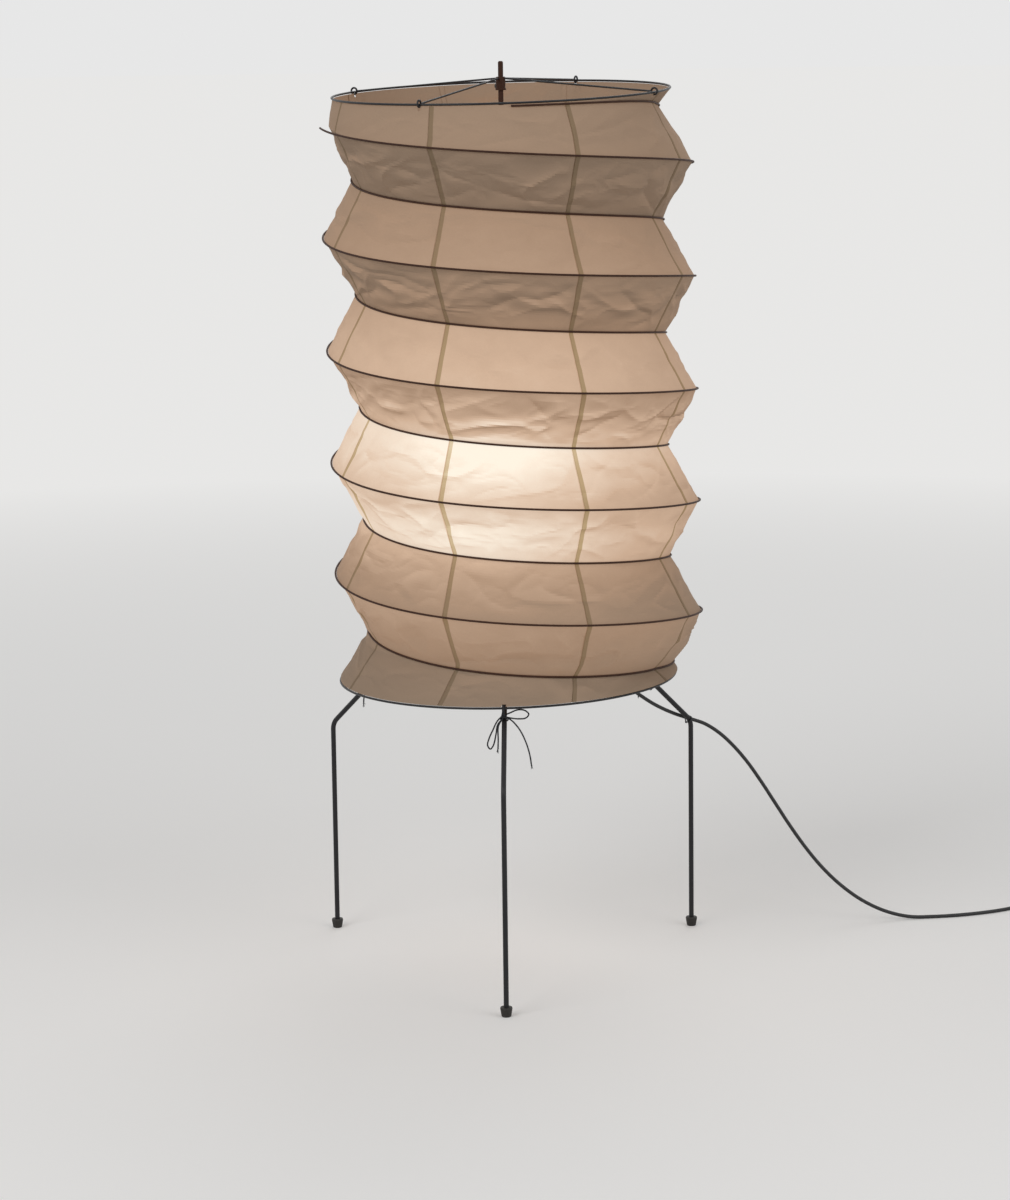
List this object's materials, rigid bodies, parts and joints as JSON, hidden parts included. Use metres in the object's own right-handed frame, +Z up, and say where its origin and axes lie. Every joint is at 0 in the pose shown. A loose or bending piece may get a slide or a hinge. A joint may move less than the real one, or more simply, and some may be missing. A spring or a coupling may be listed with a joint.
{
  "type": "floor lamp",
  "caption": "Floor lamp with a tall cylindrical folded paper shade, wire ribs in its spiral folds, on a slim black wire tripod.",
  "frame": {"origin": "on the floor, on the axis of the upright rod, midway between the three feet", "axes": "+Z up along the rod, -Y towards the front leg, +X to the right seen from the front, where the cord leaves"},
  "size_m": [1.3117, 0.8528, 1.4346],
  "materials": {
    "black_wire": "satin black lacquer",
    "brown_wire": "dark brown lacquer",
    "foot_cup": "matte",
    "paper": "matte translucent fibre paper",
    "string": "twisted cotton string",
    "brass": "satin",
    "holder_shell": "matte",
    "insulator": "matte",
    "lamp_metal": "satin",
    "lamp_glass": "frosted, lit",
    "cord_jacket": "matte",
    "cord_plastic": "matte"
  },
  "bodies": {
    "stand": {"leg_front": "black_wire", "leg_right": "black_wire", "leg_left": "black_wire", "foot_front": "foot_cup", "foot_right": "foot_cup", "foot_left": "foot_cup", "arm_boss": "black_wire", "centre_rod": "brown_wire", "holder_strap": "black_wire", "holder_nipple": "brass", "holder_nut": "brass", "strain_relief": "cord_jacket", "holder_cap": "holder_shell", "holder_skirt": "holder_shell", "holder_sleeve": "brass", "holder_contact": "brass", "holder_insulator": "insulator", "low_ring": "black_wire", "peak_rib": "brown_wire", "valley_rib": "brown_wire", "gore_1": "paper", "gore_2": "paper", "gore_3": "paper", "gore_4": "paper", "gore_5": "paper", "gore_6": "paper", "gore_7": "paper", "gore_8": "paper", "tie_front": "string", "tie_right": "string", "tie_left": "string", "cord_inner": "cord_jacket", "cord_tie": "string", "cord_outer": "cord_jacket", "switch_base": "cord_plastic", "switch_cover": "cord_plastic", "rocker_pin": "lamp_metal", "cord_link": "cord_jacket", "cord_coil": "cord_jacket", "cord_end": "cord_jacket", "plug_body": "cord_plastic", "plug_blades": "brass"},
    "top_frame": {"sliding_hub": "brown_wire", "top_ring": "black_wire", "spoke_front": "black_wire", "spoke_right": "black_wire", "spoke_back": "black_wire", "spoke_left": "black_wire"},
    "clamp_screw": {"clamp_screw": "brass"},
    "lamp": {"lamp_base": "lamp_metal", "lamp_contact": "lamp_metal", "lamp_glass": "lamp_glass"},
    "rocker": {"switch_rocker": "cord_plastic"}
  },
  "joints": [
    {"name": "shade_slide", "type": "slide", "parent": "stand", "child": "top_frame", "axis": [0, 0, 1], "range_m": [-0.5, 0], "deforming": ["gore_1", "gore_2", "gore_3", "gore_4", "gore_5", "gore_6", "gore_7", "gore_8", "peak_rib", "valley_rib"]},
    {"name": "clamp_turn", "type": "hinge", "parent": "top_frame", "child": "clamp_screw", "pos_m": [0, 0, 1.396], "axis": [-0.3256, 0.9455, 0], "range_deg": [0, 720]},
    {"name": "lamp_turn", "type": "hinge", "parent": "stand", "child": "lamp", "pos_m": [0, 0.046, 0.75], "axis": [0, 0, 1], "range_deg": [0, 1080]},
    {"name": "switch_rock", "type": "hinge", "parent": "stand", "child": "rocker", "pos_m": [0.915, 0.387, 0.014], "axis": [1, 0, 0], "range_deg": [0, 16]}
  ]
}
